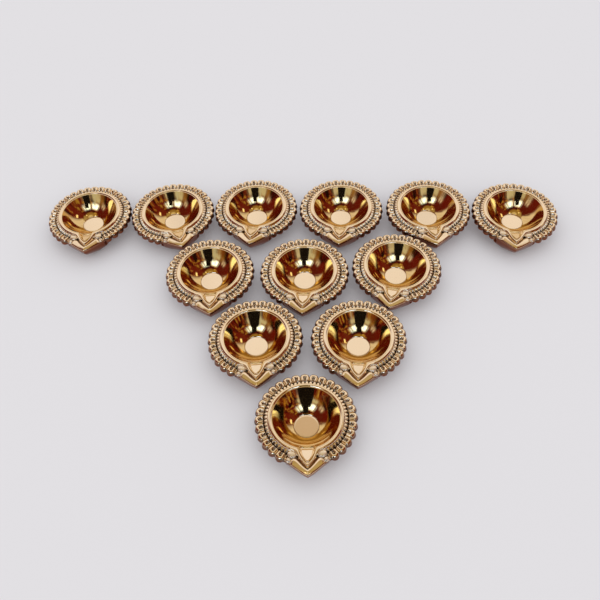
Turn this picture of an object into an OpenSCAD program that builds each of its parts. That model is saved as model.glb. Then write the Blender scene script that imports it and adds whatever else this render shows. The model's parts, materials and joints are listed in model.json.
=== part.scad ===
// A set of twelve cast brass oil lamps (diyas), each a small round bowl with a
// petalled border and a pointed spout. They stand apart on one level surface, in
// rows of six, three, two and one. Millimetres, +Z up, the surface at Z = 0.

/* [Bowl] */
// Diameter across the petals
lamp_d = 60; // [57:0.5:66]
// Height from the surface to the lip
lamp_h = 15.6; // [14.6:0.1:18]
// Diameter of the opening at the lip
bowl_d = 39.6; // [37:0.2:40.6]
// Diameter of the flat disc at the bottom of the bowl
disc_d = 14.8; // [10:0.2:20]
// Thickness of brass under the disc
disc_t = 3.5; // [2.6:0.1:4.4]
// Thickness of the bowl's wall
wall_t = 2.4; // [2:0.1:3.2]

/* [Foot] */
// Diameter of the foot
foot_d = 24; // [20:0.5:28]
// Height of the foot
foot_h = 1.2; // [0.8:0.1:1.8]

/* [Lip and teeth] */
// Width of the smooth band round the opening
band_w = 2.6; // [2:0.1:3]
// Width of the fine step inside the lip
step_w = 0.5; // [0.3:0.05:0.8]
// Depth of the fine step
step_t = 0.4; // [0.2:0.05:0.8]
// Number of small teeth in the full circle outside the band
tooth_count = 64; // [48:4:68]
// Diameter of a tooth
tooth_d = 1.9; // [1.6:0.05:2.1]
// How far the teeth's tops lie below the lip
tooth_drop = 1.5; // [1.4:0.1:1.7]

/* [Petal border] */
// Number of petal pitches in the full circle
pitch_count = 32; // [28:1:34]
// Number of those pitches that the spout and its two knobs take up
spout_pitches = 5; // [5:2:7]
// How far the petals' crowns lie below the lip
border_drop = 1.9; // [1.5:0.1:2.6]
// Radial length of a petal
petal_l = 5; // [4.4:0.1:5.4]
// Width of a petal
petal_w = 5; // [4.6:0.1:5.2]
// How far the plate between the petals lies below their crowns
plate_drop = 1.3; // [1:0.1:1.8]
// Thickness of that plate
plate_t = 3; // [2.4:0.1:3.6]
// How far the plate's edge lies inside the petals' ends
plate_inset = 1.3; // [1:0.1:1.8]
// Width of the hollow in the crown of a petal
hollow_w = 1.8; // [1.2:0.1:2.2]
// Depth of that hollow
hollow_t = 0.5; // [0.3:0.05:0.7]

/* [Knobs] */
// Diameter of the ball on each side of the spout
knob_d = 4.8; // [4:0.1:5.2]
// Diameter of the smaller ball outside it
bead_d = 3; // [2.4:0.1:3.4]
// Angle of both balls from the spout, in degrees
knob_angle = 22.5; // [21:0.5:24]

/* [Spout] */
// How far the tip reaches beyond the petals
tip_out = 5.4; // [4:0.1:6.2]
// Width of the spout where it leaves the petals
spout_w = 24.4; // [22:0.2:26]
// How far the spout's rim lies below the petals' crowns
spout_drop = 0.4; // [0:0.1:1]
// Depth of the groove inside that rim
groove_t = 1.2; // [0.8:0.1:1.6]
// Width of the raised leaf round the channel
leaf_w = 12.8; // [11.6:0.2:13.6]
// Width of the wick's channel
channel_w = 7.2; // [5.6:0.2:8]
// Slope of the channel's floor, in degrees
channel_slope = 17; // [12:1:20]

/* [Set] */
// Least gap between neighbours, as the lamps stand in the set
stand_gap = 0.7; // [0.5:0.1:3]

/* [Hidden] */
brass = [0.83, 0.66, 0.36];
fine = 96; // facets of the large round shapes
coarse = 24; // facets of the balls and rods
overrun = 1; // how far every cut runs past the metal

// Heights and radii that follow from the sizes above
lamp_r = lamp_d / 2;
bowl_r = bowl_d / 2;
disc_r = disc_d / 2;
foot_r = foot_d / 2;
band_r = bowl_r + band_w;
crown_z = lamp_h - border_drop;
plate_z = crown_z - plate_drop;
plate_r = lamp_r - plate_inset;
petal_r = petal_w / 2;
petal_from = lamp_r - petal_l;
petal_ball = lamp_r - petal_r;
knob_r = knob_d / 2;
bead_r = bead_d / 2;
pitch_angle = 360 / pitch_count;
petal_count = pitch_count - spout_pitches;
tooth_ring = band_r + tooth_d * 0.2;
tooth_h = lamp_h - tooth_drop - plate_z;
spout_half_angle = pitch_angle * spout_pitches / 2;

// The bowl is part of a ball through the disc's edge and the opening's edge
ball_z = (bowl_r * bowl_r - disc_r * disc_r + lamp_h * lamp_h - disc_t * disc_t)
    / (2 * (lamp_h - disc_t));
ball_r = norm([disc_r, ball_z - disc_t]);

// The spout: its reach, the heights of its parts, and the shares that shape it
reach = lamp_r + tip_out;
rim_z = crown_z - spout_drop;
rim_w = (reach - bowl_r) * 0.19;
groove_z = rim_z - groove_t;
leaf_z = rim_z + (lamp_h - rim_z) * 0.4;
leaf_tip = reach - rim_w * 1.75;
channel_tip = leaf_tip - rim_w * 1.25;
channel_z = rim_z - (reach - channel_tip) * 0.02;
keel_z = plate_z - plate_t * 0.5;
prow_z = foot_h + (keel_z - foot_h) * 0.45;

// Half outlines from the root to the tip, as shares of half the width and of the
// distance from the root to the tip
prow_shares = [[1, 0], [0.98, 0.33], [0.67, 0.6], [0.32, 0.84], [0, 1]];
leaf_shares = [[1, 0], [0.97, 0.2], [0.8, 0.48], [0.45, 0.78], [0, 1]];

// Half outlines of the prow below the rim, at three heights, from the belly's side
// to the point, as shares of half the spout's width and of the spout's reach
hull_heights = [keel_z, prow_z, foot_h * 2];
hull_shares = [
    [[1.17, 0.25], [1.17, 0.66], [0.98, 0.715], [0.67, 0.825], [0.32, 0.93], [0, 1]],
    [[1.15, 0.25], [1.15, 0.65], [0.98, 0.7], [0.66, 0.78], [0.3, 0.875], [0, 0.92]],
    [[0.94, 0.23], [1.1, 0.55], [0.98, 0.62], [0.66, 0.72], [0.31, 0.79], [0, 0.82]],
];

// Where each lamp stands, as shares of the unit that keeps neighbours apart,
// and how far it is turned, in degrees. The unit follows whichever pair is closer
nearest_share = 0.928; // the two closest centres
spout_share = 1.011; // the spout that comes closest to a neighbour, with that neighbour's radius
place_unit = max((lamp_d + stand_gap) / nearest_share, (reach + lamp_r + stand_gap) / spout_share);
place_shares = [
    [-2.342, 1.372], [-1.414, 1.349], [-0.486, 1.347],
    [0.458, 1.281], [1.414, 1.210], [2.342, 1.087],
    [-0.965, 0.450], [0.013, 0.395], [0.966, 0.397],
    [-0.495, -0.403], [0.496, -0.464], [-0.046, -1.290],
];
turns = [1, 15, -8, -7, 2, -11, 2, -5, -15, 1, -6, -1];

NODES = [
    "lamp_01", "lamp_02", "lamp_03", "lamp_04", "lamp_05", "lamp_06",
    "lamp_07", "lamp_08", "lamp_09", "lamp_10", "lamp_11", "lamp_12",
];

// Runs its children at each of count places, turned about the bowl's axis
module spread(count, step) {
    for (i = [0:count - 1])
        rotate(step * (i - (count - 1) / 2)) children();
}

// A flat outline from y = -root to a point at y = -tip, as wide as w at its root
module leaf_outline(w, root, tip, shares) {
    half = [for (s = shares) [s[0] * w / 2, -root - s[1] * (tip - root)]];
    polygon(concat(half, [for (i = [len(half) - 2:-1:0]) [-half[i][0], half[i][1]]]));
}

// The turned body: the foot, the round underside, the plate and the smooth band
module body() {
    rotate_extrude($fn = fine) {
        square([foot_r, foot_h]);
        intersection() {
            translate([0, ball_z]) circle(ball_r + wall_t);
            translate([0, foot_h / 2]) square([lamp_r, plate_z - foot_h / 2]);
        }
        translate([0, plate_z - plate_t]) square([plate_r, plate_t]);
        translate([0, plate_z - plate_t]) square([band_r, lamp_h - band_w / 2 - plate_z + plate_t]);
        translate([band_r - band_w / 2, lamp_h - band_w / 2]) circle(band_w / 2);
        translate([0, lamp_h - band_w]) square([band_r - band_w / 2, band_w]);
    }
}

// What the bowl's inside takes out, with the fine step at the lip
module bowl_cut() {
    rotate_extrude($fn = fine)
        intersection() {
            translate([0, ball_z]) circle(ball_r);
            translate([0, disc_t]) square([ball_r, lamp_h + overrun - disc_t]);
        }
    translate([0, 0, lamp_h - step_t])
        cylinder(h = step_t + overrun, r = bowl_r + step_w, $fn = fine);
}

// One petal along +Y: a rod lying on the plate with a ball at its outer end
module petal() {
    translate([0, petal_from, crown_z - petal_r]) rotate([-90, 0, 0])
        cylinder(h = petal_ball - petal_from, r = petal_r, $fn = coarse);
    translate([0, petal_ball, crown_z - petal_r]) sphere(petal_r, $fn = coarse);
}

// The long hollow in a petal's crown
module petal_hollow() {
    r = hollow_w / 2;
    from = petal_from + hollow_w;
    translate([0, from, crown_z + r - hollow_t]) {
        rotate([-90, 0, 0]) cylinder(h = petal_ball - from, r = r, $fn = coarse);
        translate([0, petal_ball - from, 0]) sphere(r, $fn = coarse);
    }
}

// The ring of small teeth, left out where the spout's leaf begins
module teeth() {
    for (i = [0:tooth_count - 1]) {
        angle = 360 / tooth_count * (i + 0.5);
        if (angle < 180 - spout_half_angle * 0.75 || angle > 180 + spout_half_angle * 0.75)
            rotate(angle) translate([0, tooth_ring, plate_z - overrun])
                cylinder(h = tooth_h + overrun, r = tooth_d / 2, $fn = coarse);
    }
}

// The two balls on one side of the spout
module knob_pair(side) {
    rotate(side * knob_angle) {
        translate([0, -band_r - knob_r * 0.75, crown_z - knob_r * 0.6]) sphere(knob_r, $fn = coarse);
        translate([0, -plate_r + bead_r * 0.6, plate_z - bead_r * 0.3]) sphere(bead_r, $fn = coarse);
    }
}

// The spout above its keel: the rim, the groove inside it and the raised leaf
module spout() {
    difference() {
        translate([0, 0, keel_z]) linear_extrude(rim_z - keel_z)
            leaf_outline(spout_w, bowl_r, reach, prow_shares);
        translate([0, 0, groove_z]) linear_extrude(groove_t + overrun)
            leaf_outline(spout_w - rim_w * 2, bowl_r, reach - rim_w, prow_shares);
    }
    translate([0, 0, keel_z]) linear_extrude(leaf_z - keel_z)
        leaf_outline(leaf_w, bowl_r, leaf_tip, leaf_shares);
}

// The full, boat-like underside below the spout, drawn in from the rim to the foot
module prow() {
    hull() {
        for (i = [0:len(hull_shares) - 1])
            translate([0, 0, hull_heights[i]]) linear_extrude(foot_h / 2)
                leaf_outline(spout_w, 0, reach, hull_shares[i]);
        cylinder(h = foot_h, r = foot_r * 0.8, $fn = coarse);
    }
}

// The sloping channel that the wick lies in, open to the bowl at its root
module channel_cut() {
    inner = bowl_r * 0.7;
    translate([0, -channel_tip, channel_z]) rotate([-channel_slope, 0, 0])
        translate([0, channel_tip, 0]) linear_extrude(lamp_h) {
            leaf_outline(channel_w, bowl_r, channel_tip, leaf_shares);
            translate([-channel_w / 2, -bowl_r]) square([channel_w, bowl_r - inner]);
        }
}

module diya() {
    color(brass) difference() {
        union() {
            body();
            spread(petal_count, pitch_angle) petal();
            teeth();
            knob_pair(-1);
            knob_pair(1);
            spout();
            prow();
        }
        bowl_cut();
        channel_cut();
        spread(petal_count, pitch_angle) petal_hollow();
    }
}

// One lamp of the set where it stands
module lamp(i) {
    translate(place_shares[i] * place_unit) rotate(turns[i]) diya();
}

for (i = [0:len(NODES) - 1])
    lamp(i);
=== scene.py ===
"""Twelve cast brass oil lamps in rows of six, three, two and one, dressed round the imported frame.

Each lamp is one casting, so one form is shaped and set down twelve times. The form starts as a
grid of rings and spokes. Its rings, from the middle of the bowl out over the border and back
underneath to the foot, are wrapped round to the lines of a real lamp. A lamp's sizes are in
millimetres, and turn to metres when it is set down. Angles on a lamp run from its spout's axis,
in degrees.
"""
import json
import math

import bmesh
import bpy
import numpy as np
from mathutils import Matrix, Vector


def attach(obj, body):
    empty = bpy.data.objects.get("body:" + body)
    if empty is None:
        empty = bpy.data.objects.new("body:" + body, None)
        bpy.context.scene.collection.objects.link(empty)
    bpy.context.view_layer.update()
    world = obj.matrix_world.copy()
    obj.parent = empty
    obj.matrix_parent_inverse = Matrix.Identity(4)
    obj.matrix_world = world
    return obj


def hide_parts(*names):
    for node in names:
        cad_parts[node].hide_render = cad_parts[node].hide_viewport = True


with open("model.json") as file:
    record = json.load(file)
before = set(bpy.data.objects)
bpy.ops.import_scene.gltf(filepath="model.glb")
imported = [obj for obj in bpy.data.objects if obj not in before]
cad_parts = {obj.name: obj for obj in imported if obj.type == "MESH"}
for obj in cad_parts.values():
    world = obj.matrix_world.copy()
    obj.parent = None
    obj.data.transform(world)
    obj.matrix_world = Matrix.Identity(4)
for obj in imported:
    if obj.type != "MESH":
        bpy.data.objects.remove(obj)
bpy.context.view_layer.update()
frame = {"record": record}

MM = 0.001

# The room that the metal mirrors. Its own tones run from dark to warm in loose clouds
ROOM_TONES = (
    (0.36, (0.004, 0.001, 0.001)), (0.44, (0.09, 0.005, 0.002)), (0.54, (0.16, 0.010, 0.004)),
    (0.60, (0.36, 0.15, 0.025)), (0.70, (0.80, 0.60, 0.18)),
)
# The two ends of the room. The camera stands at the front
BACK, FRONT = 1, -1
# Soft panels and dim places of the room: the end that their reach across is counted from, that
# reach and the one up in degrees, how soft their edges are, and their tone. Later ones lie over
# earlier ones. The one without a tone holds the patches listed below it
ROOM_PANELS = (
    ("ceiling", BACK, (-200, 200), (70, 100), (1, 9), (0.37, 0.24, 0.06)),
    ("ceiling's middle", BACK, (-200, 200), (81, 100), (1, 5), (0.78, 0.66, 0.42)),
    ("ceiling left", BACK, (-94, -48), (63, 76), (12, 6), (0.46, 0.34, 0.14)),
    ("ceiling right", BACK, (48, 94), (63, 76), (12, 6), (0.46, 0.34, 0.14)),
    ("left side wall", BACK, (-126, -66), (28, 61), (12, 7), (0.12, 0.008, 0.003)),
    ("right side wall", BACK, (68, 126), (28, 61), (12, 7), (0.14, 0.012, 0.005)),
    ("ceiling behind", BACK, (-52, 62), (50, 74), (18, 8), (0.48, 0.37, 0.19)),
    ("pale ceiling behind", BACK, (-14, 14), (50, 67), (9, 8), (0.60, 0.45, 0.31)),
    ("white backdrop", BACK, (-60, 58), (0, 60), (20, 4), (0.90, 0.82, 0.77)),
    ("backdrop's foot", BACK, (-60, 58), (0, 13), (20, 9), (0.66, 0.44, 0.17)),
    ("left high wall", FRONT, (42, 124), (31, 62), (16, 7), (0.11, 0.010, 0.004)),
    ("right high wall", FRONT, (-112, -46), (24, 63), (14, 7), (0.16, 0.018, 0.007)),
    ("left low wall", FRONT, (32, 65), (14, 34), (15, 15), (0.30, 0.15, 0.03)),
    ("right low wall", FRONT, (-44, -27), (8, 39), (14, 14), (0.30, 0.09, 0.03)),
    ("right corner", BACK, (83, 98), (14, 37), (8, 11), (0.15, 0.012, 0.006)),
    ("left corner", BACK, (-98, -64), (12, 31), (9, 13), (0.14, 0.010, 0.005)),
    ("patches", FRONT, (-72, 38), (2, 64), (16, 8), None),
    ("left window", FRONT, (60, 78), (22, 35), (15, 13), (1.07, 0.98, 0.97)),
    ("front panel left", FRONT, (10, 47), (35, 54), (19, 11), (2.4, 3.1, 4.2)),
    ("front panel right", FRONT, (-43, -4), (37, 56), (19, 11), (2.4, 3.1, 4.2)),
    ("front low wall", FRONT, (-32, 47), (18, 29), (15, 9), (0.66, 0.66, 0.56)),
    ("front tall light", FRONT, (-22, -20), (9, 43), (8, 11), (0.66, 0.61, 0.71)),
    ("front low light", FRONT, (18, 26), (15, 40), (8, 12), (0.60, 0.64, 0.60)),
)
# The patches, where the clouds are lightest and darkest: the clouds' range, how soft the edges
# are, how strong the patches are and their tone
PATCHES = (
    ((0.55, 2), 0.05, 0.6, (0.55, 0.38, 0.07)),
    ((-1, 0.45), 0.06, 0.85, (0.015, 0.002, 0.001)),
)
# How much the upright streaks take from the panels at each end, and how fine the streaks are
# across and up
STREAKED = {BACK: 0.12, FRONT: 0.75}
STREAKS_ACROSS, STREAKS_UP = 6, 1.2
# Small lights, as across from the back, up and half height in degrees, and how much wider they are
ROOM_LIGHTS = ((-97, 72, 2.4), (108, 73, 2.4), (74, 39, 3.2))
LIGHT_WIDTH = 2.5
LIGHT_TONE = (1.7, 1.5, 0.9)
# What the metal mirrors from below, and the tones of the dark cards and of the pale floor
BELOW_TONE = (0.07, 0.018, 0.008)
CARD_TONE = (0.006, 0.004, 0.004)
FLOOR_TONES = (0.689, 0.673, 0.695), (0.681, 0.668, 0.689)
# The world beyond the floor as the camera sees it
BEYOND_TONE = (0.762, 0.745, 0.768)

# The brass: its two plain tones, and those of its parts, where later ones lie over earlier ones.
# Of the parts' tones the knob's is the metal's own; the bowl's deeper, yellower tone is painted
# inter-reflection, the colour of light bounced round inside the bowl, and the under and groove
# tones are painted shade, dark red-brown underneath and near black in grooves, gaps and cut lines
BRASS_TONES = (0.97, 0.82, 0.60), (0.95, 0.78, 0.54)
PART_TONES = (
    ("knob", (1.0, 0.88, 0.69)), ("bowl", (0.79, 0.57, 0.26)), ("under", (0.22, 0.055, 0.020)),
    ("groove", (0.045, 0.018, 0.010)),
)
# The shares that each point of a lamp keeps of these parts: where the bowl share lies,
# inter-reflection is painted in, and where the groove and under shares lie, shade is painted in
SHARES = ("bowl", "groove", "under", "knob")

# The lens in millimetres, and how the camera looks: down and rolled in degrees, aimed at a point
# of the floor from a distance, in millimetres
LENS, SENSOR = 41.49, 36
LOOKS_DOWN, ROLLED = 52.523, -2.867
AIM, AWAY = (-3.085, 11.885, 0), 468.13

# The lamp's main circles, from the disc in the middle of the bowl to the petals' ends
DISC_R, DISC_Z = 7.4, 3.5
SILL_R = 16.2
LIP_R, LIP_Z = 19.7, 15.6
BAND_R = 22.5
GROOVE_R = 24.75
LAMP_R = 30.0
FOOT_R = 12.0
# Slope of the bowl's inner wall in degrees at distances from the middle, and its height at the lip
BOWL_R = (DISC_R, 9, 11, 13, 15, 16.5, 18, LIP_R)
BOWL_SLOPE = (19, 25, 31.5, 38.5, 46, 50.5, 53, 53.5)
BOWL_TOP = 15.3
# The ball that the bowl's underside follows: its radius without the wall, its middle and the wall
BALL_R, BALL_Z = 21.31, 23.49
WALL = 2.4

# Spokes, petals and teeth round the lamp, and the angles between which the spout's border turns
# into petals
PITCHES = 32
SPOKES = PITCHES * 16
TEETH = 64
PITCH = 360 / PITCHES
SPOUT_START, SPOUT_EDGE = 25.3, PITCH * 2.5

# Turn of each lamp about its own axis, in degrees
TURNS = (1, 15, -8, -7, 2, -11, 2, -5, -15, 1, -6, -1)

# Half outlines of the spout's lines from above, as (side, ahead) from the lamp's centre
CHANNEL_LINE = (
    (0, 27.5), (1.0, 26.9), (2.2, 25.6), (3.35, 24.0), (4.1, 22.3), (4.5, 20.8), (4.8, 19.3), (5.3, 17.5),
)
LEAF_LINE = ((0, 30.4), (1.0, 29.6), (2.6, 27.8), (4.3, 25.5), (5.6, 23.4), (6.5, 21.5), (7.3, 19.5))
TRENCH_LINE = (
    (0, 30.9), (1.0, 30.15), (2.75, 28.25), (4.5, 25.95), (5.85, 23.8), (6.75, 21.65), (7.5, 19.5),
)
# Half outlines of the prow at four heights
PROW_HEIGHTS = (12, 9, 6, 3)
PROW_LINES = (
    ((0, 35.4), (2.0, 34.3), (4.2, 32.75), (8.2, 29.5), (12.2, 26.0), (14.3, 23.6), (14.6, 18), (14.6, 8)),
    ((0, 34.6), (1.9, 33.5), (4.1, 32.0), (8.1, 28.8), (12.1, 25.5), (14.2, 23.1), (14.5, 18), (14.5, 8)),
    ((0, 32.6), (1.8, 31.7), (4.0, 30.4), (8.0, 27.6), (12.0, 24.7), (14.0, 22.5), (14.2, 18), (14.0, 8)),
    ((0, 29.4), (1.8, 28.7), (4.0, 27.8), (8.0, 25.6), (11.8, 22.4), (13.4, 19.6), (13.2, 15), (11.5, 8)),
)
# Height of the channel's floor along the spout: sill, dip, step and slope
CHANNEL_AHEAD = (15.6, 16.0, 16.35, 16.8, 17.3, 17.9, 18.5, 18.9, 26.4, 26.8, 27.4)
CHANNEL_Z = (8.95, 9.55, 9.95, 9.72, 9.78, 10.35, 10.95, 11.1, 13.35, 13.6, 14.3)
# Half width of that floor along the spout
CHANNEL_HALF_AHEAD = (16, 19.5, 21.0, 22.5, 24.0, 25.4, 26.4)
CHANNEL_HALF = (3.4, 3.05, 2.9, 2.5, 1.85, 0.95, 0.0)
# Steepness of its sides, and depth of the fine line cut at their foot
CHANNEL_STEEP, CHANNEL_CUT = 2.4, 0.16
# The spout's outer ridge: its foot, its rise, and its section from the trench to the edge
RIDGE_Z, RIDGE_RISE = 12.3, 1.35
RIDGE_PLACES = (0, 0.06, 0.12, 0.22, 0.34, 0.43, 0.5, 0.6, 0.8, 0.9, 1)
RIDGE_SHARES = (0.15, 0.66, 0.84, 0.95, 1.03, 1.03, 0.99, 0.93, 0.78, 0.67, 0)

# Rings of the disc and of the fine line cut round it: distance from the middle, and step up
DISC_RINGS = (
    (2.2, 0), (4.4, 0), (6.2, 0), (7.05, 0), (7.22, -0.02), (7.34, -0.14), (7.46, -0.13), (7.58, 0.05),
)
BOWL_START = 7.75
# The fine step inside the lip: its highest bowl side, its width, and its drop from the crest
STEP_Z, STEP_WIDTH, STEP_DROP = 15.15, 0.52, 0.3
# How far the lip band's crest falls along the leaf
LEAF_FALL = 0.9
# Heights of the teeth, the ground between them, and the bottoms of the groove and the trench
TOOTH_Z, GROUND_Z = 14.4, 12.4
GROOVE_Z, TRENCH_Z = 12.2, 12.5
# The petals: height of their crowns, radius of their round ends and of the circle they lie on,
# and middle, depth and half width of their hollows, and the height of the seed in each
CROWN_Z = 14.05
PETAL_END, PETAL_CIRCLE = 3.7, 28.8
HOLLOW_R, HOLLOW_DEPTH, HOLLOW_HALF = 26.4, 1.25, 0.92
SEED_RISE = 0.6
# Rings of the petals' ends: height, height on the prow, how far in, and how much deeper between
# two petals, where the notch is 1.3 mm deep at the crowns
PETAL_NOTCH = 1.3
PETAL_END_RINGS = (
    (11.5, 11.7, -0.12, 0.2), (10.9, 11.2, -0.25, 0.5), (10.2, 10.7, -0.1, 0.8), (9.6, 10.2, 0.4, 1.0),
    (9.15, 9.7, 1.1, 1.0), (8.95, 9.2, 2.2, 1.0),
)
# Rings of the underside: distance from the middle, or None on the ball, height, height on the prow
UNDER_RINGS = (
    (26.4, 9.05, 8.7), (23.6, 9.1, 8.1), (21.0, 9.1, 7.5), (19.7, 8.95, 6.9), (None, 8.2, 6.2),
    (None, 7.1, 5.5), (None, 6.0, 4.8), (None, 4.9, 4.1), (None, 3.9, 3.4), (None, 3.0, 2.8),
    (None, 2.2, 2.2), (9.4, 1.45, 1.6),
)
# Rings of the foot: distance from the middle and height
FOOT_RINGS = ((FOOT_R - 0.3, 1.2), (FOOT_R, 0.95), (FOOT_R, 0.2), (FOOT_R - 0.2, 0), (FOOT_R / 2, 0), (0, 0))
# The two beads of each knob beside the spout: angle, distance, height, radius, and how much
# longer and flatter than a ball they are
KNOB_BEADS = ((20.6, 23.9, 13.75, 2.4, 1.12, 0.42), (22.4, 27.4, 12.5, 1.6, 1.0, 0.7))


def mix(a, b, t):
    return a + (b - a) * t


def ease(x, start, end):
    """0 at start, 1 at end, and a smooth S between them."""
    t = np.clip((x - start) / (end - start), 0, 1)
    return t * t * (3 - 2 * t)


def quarter(t):
    """1 at 0 and 0 at 1, along a quarter circle that is steep at 0 and flat at 1."""
    t = np.clip(t, 0, 1)
    return 1 - np.sqrt(np.clip(1 - (1 - t) ** 2, 0, 1))


def steps(count):
    """Shares of the way for a run of rings, of which the last is at 1."""
    return np.linspace(0, 1, count + 1)[1:]


def line_radius(points, angle):
    """How far a ray at each angle runs to a half outline of (side, ahead) points."""
    points = np.array(points, float)
    turn = np.degrees(np.arctan2(points[:, 0], points[:, 1]))
    i = np.clip(np.searchsorted(turn, angle, side="right") - 1, 0, len(turn) - 2)
    start, way = points[i], points[i + 1] - points[i]
    side, ahead = np.sin(np.radians(angle)), np.cos(np.radians(angle))
    across = side * way[:, 1] - ahead * way[:, 0]
    r = (start[:, 0] * way[:, 1] - start[:, 1] * way[:, 0]) / across
    return np.where(angle < 88, np.clip(r, 0, 60), 0)


def soften(line, times):
    """Rounds a line that runs round the lamp."""
    for _ in range(times):
        line = line * 0.5 + (np.roll(line, 1, -1) + np.roll(line, -1, -1)) * 0.25
    return line


def prow_radius(z, angle):
    """The prow's reach at each height and angle: a cubic through its four outlines."""
    lines = [line_radius(points, angle) for points in PROW_LINES]
    total = 0
    for i, (height, line) in enumerate(zip(PROW_HEIGHTS, lines)):
        share = 1.0
        for j, other in enumerate(PROW_HEIGHTS):
            if j != i:
                share = share * (z - other) / (height - other)
        total = total + share * line
    return total


def bowl_z(r):
    """Height of the bowl's inner wall, which steepens from the disc to the lip."""
    step = np.linspace(DISC_R, LIP_R, 500)
    rise = np.cumsum(np.tan(np.radians(np.interp(step, BOWL_R, BOWL_SLOPE))))
    rise = (rise - rise[0]) / (rise[-1] - rise[0])
    return DISC_Z + (BOWL_TOP - DISC_Z) * np.interp(r, step, rise)


def channel_z(side, ahead):
    """Height of the channel that the wick lies in: its floor, and the sides that rise from it."""
    beyond = np.abs(side) - np.interp(ahead, CHANNEL_HALF_AHEAD, CHANNEL_HALF)
    cut = CHANNEL_CUT * ease(0.3 - np.abs(beyond - 0.1), 0, 0.3)
    return np.interp(ahead, CHANNEL_AHEAD, CHANNEL_Z) + np.clip(beyond, 0, 9) * CHANNEL_STEEP - cut


def ridge_z(t, angle):
    """Height of the spout's outer ridge, which sinks into a flat bevel beside the knobs."""
    ridge = RIDGE_RISE * (1 - ease(angle, 17, 22))
    height = RIDGE_Z + (ridge + 0.05) * np.interp(t, RIDGE_PLACES, RIDGE_SHARES)
    return np.where(angle > 17, mix(height, 12.35 - 0.35 * t, ease(angle, 19, 24)), height)


def petal_z(r, edge, from_petal):
    """Height of the petals, each an arched ridge round a hollow with a seed in it."""
    half = np.radians(PITCH / 2) * r
    aside = np.abs(np.radians(from_petal * PITCH) * r)
    drops = (
        2.4 * quarter((half - aside) / 0.95),
        2.0 * quarter((edge - r) / 1.9),
        1.2 * quarter((r - 24.8) / 0.5),
    )
    drop = sum(each ** 1.7 for each in drops) ** (1 / 1.7)
    inside = HOLLOW_HALF - np.hypot(aside, np.clip(np.abs(r - HOLLOW_R) - 0.45, 0, 9) * 0.9)
    hollow = HOLLOW_DEPTH * ease(inside, -0.1, 0.5)
    seed = SEED_RISE * ease(0.4 - aside, 0, 0.4) * ease(r, 25.5, 26.0) * (1 - ease(r, 26.6, 27.2))
    return CROWN_Z - drop - hollow + seed


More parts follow.
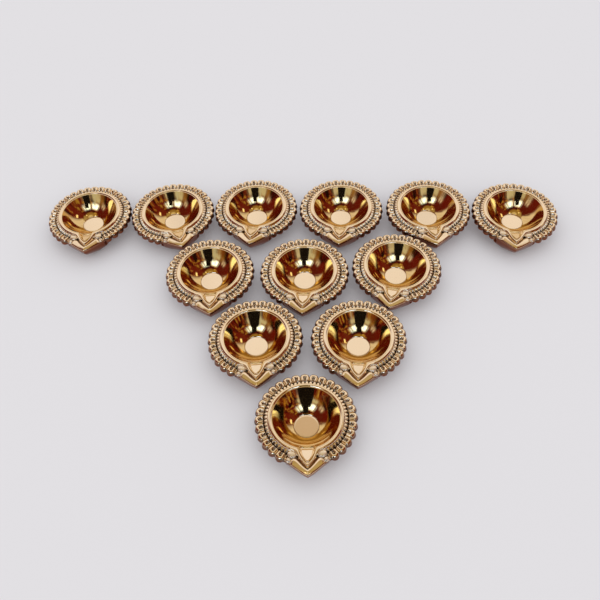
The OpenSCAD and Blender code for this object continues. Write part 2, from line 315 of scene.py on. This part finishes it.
def lamp_rings():
    """Radius, height and shares of bowl, groove and underside of every ring at every spoke, from
    the bowl's middle to the foot's. The bowl share paints inter-reflection into the bowl, and the
    groove and underside shares paint shade."""
    turn = np.arange(SPOKES) * 360 / SPOKES
    angle = np.minimum(turn, 360 - turn)
    ahead, side = np.cos(np.radians(angle)), np.sin(np.radians(angle))
    from_petal = (angle / PITCH + 0.5) % 1 - 0.5
    from_tooth = (angle * TEETH / 360) % 1 - 0.5
    # Where the spout, its leaf and its prow's flank take over from the round lamp, and which
    # petals are on the spout's half
    in_spout = 1 - ease(angle, SPOUT_START, SPOUT_EDGE)
    in_leaf = 1 - ease(angle, 16, 19)
    in_flank = 1 - ease(angle, 38, 60)
    near = 1 - ease(angle, 60, 100)
    # The lines that run round the lamp and out along the spout
    lip, band, trench = (
        mix(soften(line, 2), soften(line, 24), ease(angle, 5, 9))
        for line in (
            np.maximum(LIP_R, line_radius(CHANNEL_LINE, angle)),
            np.maximum(BAND_R, line_radius(LEAF_LINE, angle)),
            np.maximum(GROOVE_R, line_radius(TRENCH_LINE, angle)),
        )
    )
    petal_side = PETAL_CIRCLE * np.radians(from_petal * PITCH)
    petal_edge = LAMP_R - PETAL_END + np.sqrt(PETAL_END ** 2 - petal_side ** 2)
    edge = mix(petal_edge, prow_radius(PROW_HEIGHTS[0], angle), in_spout)
    rings = []

    def ring(r, z, bowl=0, groove=0, under=0):
        rings.append([value + np.zeros(SPOKES) for value in (r, z, bowl, groove, under)])

    # The flat disc with its fine cut line, where half the groove share paints shade into the cut, and
    # the bowl up to the channel's sill, which takes the bowl's painted inter-reflection
    ring(0, DISC_Z)
    for r, step_up in DISC_RINGS:
        ring(r, DISC_Z + step_up, 0, 0.5 if step_up < -0.1 else 0)
    for r in np.linspace(BOWL_START, SILL_R, 18):
        ring(r, bowl_z(r), 1)
    # The bowl's last stretch, cut by the channel
    for t in steps(28):
        r = mix(SILL_R, lip, 1 - (1 - t) ** 1.7)
        wall = np.minimum(bowl_z(np.minimum(r, LIP_R)), STEP_Z)
        channel = channel_z(r * side, r * ahead)
        in_channel = (angle < 30) & (channel < wall)
        ring(r, np.where(in_channel, channel, wall), np.where(in_channel, 0, 1))
    # The fine step inside the lip, and the smooth band that turns out into the leaf
    crest = LIP_Z - LEAF_FALL * ease(band, 22.6, 29.6)
    ring(lip + 0.2, np.maximum(np.minimum(STEP_Z + 0.02, crest - 0.45), rings[-1][1]))
    ring(lip + 0.42, crest - 0.42)
    ring(lip + STEP_WIDTH, crest - STEP_DROP)
    for t in steps(11):
        rise = np.clip(1 - t / 0.36, 0, 1) ** 2 * STEP_DROP
        fall = quarter((1 - t) / mix(0.62, 0.34, in_spout)) * mix(1.2, 1.5, in_spout)
        ring(mix(lip + STEP_WIDTH, band, t), crest - rise - fall)
    # The ring of pointed teeth, and the leaf's side down to the trench, with shade painted on the
    # low ground between the teeth and at the foot of the leaf's side
    for t in steps(9):
        r = mix(band, GROOVE_R - 0.3, t)
        point = mix(band + 0.35, GROOVE_R - 0.1, 1 - np.abs(2 * from_tooth) ** 1.5)
        tooth = ease(point - r, -0.1, 0.25)
        leaf_side = mix(crest - 1.5, TRENCH_Z + 0.1, ease(t, -0.1, 0.9))
        r = mix(r, mix(band, trench, t * 0.92), in_spout)
        z = mix(mix(GROUND_Z, TOOTH_Z - 0.35 * t, tooth), leaf_side, in_leaf)
        ring(r, z, 0, mix(ease(13.9 - z, 0.2, 1.0), ease(12.9 - z, 0, 0.5), in_leaf))
    # The bottoms of the groove and the trench, painted near black as shade
    bottom = mix(GROOVE_Z, TRENCH_Z, in_spout)
    start = mix(GROOVE_R + 0.05, trench + 0.2, in_spout)
    ring(mix(GROOVE_R - 0.15, trench, in_spout), bottom, 0, 1)
    ring(start, bottom, 0, 1)
    # The petals, and the spout's outer ridge, with shade painted in the petals' hollows and the gaps
    # between them, at the foot of the ridge and on the outer ends of petals and ridge, less of it at
    # the ends on the near side
    for t in steps(19):
        r = mix(start, edge, t)
        petal = petal_z(r, edge, from_petal)
        ridge = ridge_z(t, angle)
        hollow_shade = ease(13.75 - petal, 0.25, 0.85) * (1 - 0.5 * ease(t, 0.8, 1) * near)
        ridge_shade = ease(12.8 - ridge, 0, 0.6) * ease(0.15 - t, 0, 0.1)
        end = ease(t, 0.8 + 0.06 * near, 0.97) * (1 - 0.1 * near)
        ring(
            r, mix(petal, ridge, in_spout), 0, mix(hollow_shade, ridge_shade, in_spout),
            mix(end, ease(t, 0.9, 1), in_spout),
        )
    # The petals' round ends, the underside with the wall of the bowl, and the foot; below the
    # spout the first two become the prow's flank. All of them take the underside's painted shade,
    # and the upper ends away from the spout and the near side also a dark painted groove shade
    for z, prow_z, inset, deeper in PETAL_END_RINGS:
        height = mix(z, prow_z, in_spout)
        notch = (LAMP_R - petal_edge) / PETAL_NOTCH
        bulb = petal_edge - inset - deeper * notch
        far_end_shade = (1 - in_spout) * (1 - near) * 0.6 * (z > 10.5)
        reach = mix(bulb, prow_radius(height, angle), in_spout)
        ring(reach, height, 0, far_end_shade, ease(height, 12.8, 11.4))
    for r, z, prow_z in UNDER_RINGS:
        height = mix(z, prow_z, in_flank)
        body = r if r else np.sqrt((BALL_R + WALL) ** 2 - (BALL_Z - z) ** 2)
        reach = soften(np.maximum(body, prow_radius(height, angle)), 3)
        ring(np.minimum(reach, rings[-1][0]), height, 0, 0, 1)
    for r, z in FOOT_RINGS:
        ring(r, z, 0, 0, 1)
    return rings


def bead(bm, angle, distance, z, r, longer, flatter):
    """A smooth bead of metal at an angle from the spout's axis, drawn out round the lamp."""
    side = math.radians(angle)
    place = Matrix.Translation((math.sin(side) * distance, -math.cos(side) * distance, z))
    place = place @ Matrix.Rotation(side, 4, "Z") @ Matrix.Diagonal((longer, 1, flatter, 1))
    bmesh.ops.create_uvsphere(bm, u_segments=24, v_segments=16, radius=r, matrix=place)


def lamp_form():
    """One lamp about its own axis, in millimetres, with the spout along -Y."""
    rings = lamp_rings()
    bm = bmesh.new()
    bmesh.ops.create_grid(bm, x_segments=SPOKES, y_segments=len(rings) - 1, size=1)
    *shares, rounded = [bm.verts.layers.float.new(name) for name in SHARES]
    for v in bm.verts:
        spoke = round((v.co.x + 1) / 2 * SPOKES) % SPOKES
        r, z, *values = (line[spoke] for line in rings[round((v.co.y + 1) / 2 * (len(rings) - 1))])
        a = math.tau * spoke / SPOKES
        v.co = (math.sin(a) * r, -math.cos(a) * r, z)
        for share, value in zip(shares, values):
            v[share] = value
    bmesh.ops.remove_doubles(bm, verts=bm.verts, dist=1e-4)
    cast = set(bm.verts)
    for side in (-1, 1):
        for angle, *rest in KNOB_BEADS:
            bead(bm, side * angle, *rest)
    for v in bm.verts:
        v[rounded] = 0 if v in cast else 1
    bmesh.ops.recalc_face_normals(bm, faces=bm.faces)
    for face in bm.faces:
        face.smooth = True
    form = bpy.data.meshes.new("lamp_form")
    bm.to_mesh(form)
    bm.free()
    return form


class Socket:
    """A shader value that can be used in sums."""

    def __init__(self, tree, link):
        self.tree, self.link = tree, link

    def __add__(self, other): return self.tree.maths("ADD", self, other)
    def __radd__(self, other): return self.tree.maths("ADD", other, self)
    def __rsub__(self, other): return self.tree.maths("SUBTRACT", other, self)
    def __mul__(self, other): return self.tree.maths("MULTIPLY", self, other)
    def __rmul__(self, other): return self.tree.maths("MULTIPLY", other, self)


class Finish:
    """The node tree of a material or a world, filled by one method."""

    def __init__(self, holder):
        self.holder = holder
        holder.use_nodes = True
        self.nodes, self.links = holder.node_tree.nodes, holder.node_tree.links
        self.nodes.clear()

    def add(self, kind, settings=None, values=None, out=0):
        node = self.nodes.new(kind)
        for name, value in (settings or {}).items():
            if name == "stops":
                ramp = node.color_ramp
                while len(ramp.elements) < len(value):
                    ramp.elements.new(0.5)
                for stop, (place, colour) in zip(ramp.elements, value):
                    stop.position, stop.color = place, (*colour, 1)
            else:
                setattr(node, name, value)
        for name, value in (values or {}).items():
            if isinstance(value, Socket):
                self.links.new(value.link, node.inputs[name])
            else:
                node.inputs[name].default_value = value
        return Socket(self, node.outputs[out]) if node.outputs else None

    def maths(self, operation, *values):
        return self.add("ShaderNodeMath", {"operation": operation}, dict(enumerate(values)))

    def blend(self, share, one, other, label=""):
        """One colour that turns to another as share goes from 0 to 1."""
        one, other = (c if isinstance(c, Socket) else (*c, 1) for c in (one, other))
        settings = {"data_type": "RGBA", "label": label}
        return self.add("ShaderNodeMix", settings, {0: share, 6: one, 7: other}, out=2)


def brass():
    """Polished cast brass: pale gold, and yellower in the bowl with painted inter-reflection, matt on
    the knobs, with painted shade that makes it near black in the grooves and red-brown underneath,
    and fine scratches all over."""
    f = Finish(bpy.data.materials.new("polished_brass"))
    place = f.add("ShaderNodeTexCoord", out="Object")
    cloud = f.add("ShaderNodeTexNoise", {}, {"Vector": place, "Scale": 90, "Detail": 3, "Roughness": 0.6})
    fine = f.add("ShaderNodeTexNoise", {}, {"Vector": place, "Scale": 900, "Detail": 2, "Roughness": 0.5})
    part = {name: f.add("ShaderNodeAttribute", {"attribute_name": name}, out="Fac") for name in SHARES}
    colour = f.blend(cloud, *BRASS_TONES)
    for name, tone in PART_TONES:
        colour = f.blend(part[name], colour, tone, name)
    rough = 0.05 + part["groove"] * 0.3 + part["under"] * 0.06 + fine * 0.05 + part["knob"] * 0.32
    bump = f.add("ShaderNodeBump", {}, {"Strength": 0.04, "Distance": 0.0002, "Height": fine})
    shader = f.add("ShaderNodeBsdfPrincipled", {}, {
        "Base Color": colour, "Roughness": rough, "Metallic": 1.0, "Normal": bump})
    f.add("ShaderNodeOutputMaterial", {}, {"Surface": shader})
    return f.holder


def matt_floor():
    """Pale and faintly clouded, with a little light of its own that softens the shadows."""
    f = Finish(bpy.data.materials.new("matt_floor"))
    place = f.add("ShaderNodeTexCoord", out="Object")
    cloud = f.add("ShaderNodeTexNoise", {}, {"Vector": place, "Scale": 3, "Detail": 2})
    colour = f.blend(cloud, *FLOOR_TONES)
    shader = f.add("ShaderNodeBsdfPrincipled", {}, {
        "Base Color": colour, "Roughness": 0.9, "Specular IOR Level": 0.0,
        "Emission Color": colour, "Emission Strength": 0.11})
    f.add("ShaderNodeOutputMaterial", {}, {"Surface": shader})
    return f.holder


def flat_board(name, width, height):
    """A flat rectangle round the origin, facing up."""
    bm = bmesh.new()
    bmesh.ops.create_grid(bm, x_segments=1, y_segments=1, size=0.5)
    bmesh.ops.scale(bm, vec=(width, height, 1), verts=bm.verts)
    mesh = bpy.data.meshes.new(name)
    bm.to_mesh(mesh)
    bm.free()
    return mesh


def put(name, mesh, finish):
    """Brings a mesh into the scene with its finish."""
    mesh.materials.append(finish)
    thing = bpy.data.objects.new(name, mesh)
    bpy.context.scene.collection.objects.link(thing)
    return thing


def floor():
    """The surface that the lamps stand on."""
    ground = put("floor", flat_board("floor", 12, 12), matt_floor())


def card(name, width, height, place, facing):
    """A dark card of the studio, which the metal mirrors and nothing else shows."""
    f = Finish(bpy.data.materials.new(name))
    light = f.add("ShaderNodeEmission", {}, {"Color": (*CARD_TONE, 1), "Strength": 1.0})
    f.add("ShaderNodeOutputMaterial", {}, {"Surface": light})
    mesh = flat_board(name, width, height)
    mesh.transform(Matrix.Translation(place) @ Vector(facing).to_track_quat("Z", "Y").to_matrix().to_4x4())
    board = put(name, mesh, f.holder)
    board.visible_camera = board.visible_diffuse = board.visible_shadow = False


def studio():
    """Even light from all round, and a room of warm and dark tones for the metal to mirror."""
    f = Finish(bpy.data.worlds.new("studio"))
    bpy.context.scene.world = f.holder
    glossy = f.add("ShaderNodeLightPath", out="Is Glossy Ray")
    seen = f.add("ShaderNodeLightPath", out="Is Camera Ray")
    sky = f.add("ShaderNodeTexCoord", out="Generated")
    x, y, z = (f.add("ShaderNodeSeparateXYZ", {}, {"Vector": sky}, out=name) for name in "XYZ")
    turn = f.maths("ARCTAN2", x, y)
    up = f.maths("ARCSINE", z) * math.degrees(1)
    across = {
        BACK: turn * math.degrees(1),
        FRONT: f.maths("ARCTAN2", x * -1, y * -1) * math.degrees(1),
    }

    def within(value, low, high, soft):
        """1 between low and high, and falling softly to 0 beyond them."""
        rise, fall = (
            f.add("ShaderNodeMapRange", {"interpolation_type": "SMOOTHSTEP"}, {
                0: value, 1: edge - soft / 2, 2: edge + soft / 2})
            for edge in (low, high)
        )
        return rise * (1 - fall)

    clouds = f.add("ShaderNodeTexNoise", {}, {
        "Vector": sky, "Scale": 4.2, "Detail": 4, "Roughness": 0.6, "Distortion": 0.8})
    upright = f.add("ShaderNodeCombineXYZ", {}, {
        0: f.maths("COSINE", turn) * STREAKS_ACROSS, 1: f.maths("SINE", turn) * STREAKS_ACROSS,
        2: z * STREAKS_UP})
    streaks = f.add("ShaderNodeTexNoise", {}, {
        "Vector": upright, "Scale": 1, "Detail": 3, "Roughness": 0.6})
    room = f.add("ShaderNodeValToRGB", {"stops": ROOM_TONES}, {"Fac": clouds})
    for name, end, reach, rise, soft, tone in ROOM_PANELS:
        mask = within(across[end], *reach, soft[0]) * within(up, *rise, soft[1])
        if tone:
            mask = mask * (1 - STREAKED[end] * within(streaks, 0.53, 2, 0.07))
            room = f.blend(mask, room, tone, name)
        else:
            for clouded, edges, strength, patch_tone in PATCHES:
                patch = mask * within(clouds, *clouded, edges) * strength
                room = f.blend(patch, room, patch_tone, name)
    for way, height, half in ROOM_LIGHTS:
        wide = half * LIGHT_WIDTH
        mask = within(across[BACK], way - wide, way + wide, half * 2)
        mask = mask * within(up, height - half, height + half, half)
        room = f.blend(mask, room, LIGHT_TONE, "small light")
    room = f.blend(1 - within(up, 1, 200, 4), room, BELOW_TONE, "below")
    even = f.blend(seen, (1, 1, 1), BEYOND_TONE)
    light = f.add("ShaderNodeBackground", {}, {"Color": f.blend(glossy, even, room), "Strength": 1.0})
    f.add("ShaderNodeOutputWorld", {}, {"Surface": light})


def camera():
    """The photograph's view: it looks down 52.5 degrees from 0.47 m, rolled a little."""
    pitch, roll = math.radians(LOOKS_DOWN), math.radians(ROLLED)
    back = Vector((0, -math.cos(pitch), math.sin(pitch)))
    level = Vector((1, 0, 0))
    upward = back.cross(level)
    right = level * math.cos(roll) + upward * math.sin(roll)
    top = upward * math.cos(roll) - level * math.sin(roll)
    data = bpy.data.cameras.new("camera")
    data.lens, data.sensor_width, data.clip_start, data.clip_end = LENS, SENSOR, 0.01, 50
    eye = bpy.data.objects.new("camera", data)
    place = Matrix.Translation(Vector(AIM) * MM + back * AWAY * MM)
    eye.matrix_world = place @ Matrix((right, top, back)).transposed().to_4x4()
    bpy.context.scene.collection.objects.link(eye)
    bpy.context.scene.camera = eye


bpy.context.scene.view_settings.view_transform = "Standard"
camera()
floor()
studio()
card("dark_stand", 0.285, 0.435, (-0.028, -0.43, 0.2175), (0, 1, 0.1))
card("dark_head", 0.15, 0.22, (-0.003, -0.315, 0.375), (0, 1, -0.9))

# Shape one lamp, and set it down twelve times
form = lamp_form()
metal = brass()
feet = {mount["name"]: mount["pos_m"] for mount in frame["record"]["mounts"]}
for number, turned in enumerate(TURNS, start=1):
    name = f"lamp_{number:02d}"
    mesh = form.copy()
    mesh.name = f"cast_{name}"
    spot = Vector(feet[f"foot_{number:02d}"])
    place = Matrix.Translation(spot) @ Matrix.Rotation(math.radians(turned), 4, "Z")
    mesh.transform(place @ Matrix.Scale(MM, 4))
    lamp = put(f"cast_{name}", mesh, metal)
    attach(lamp, "root")
    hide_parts(name)
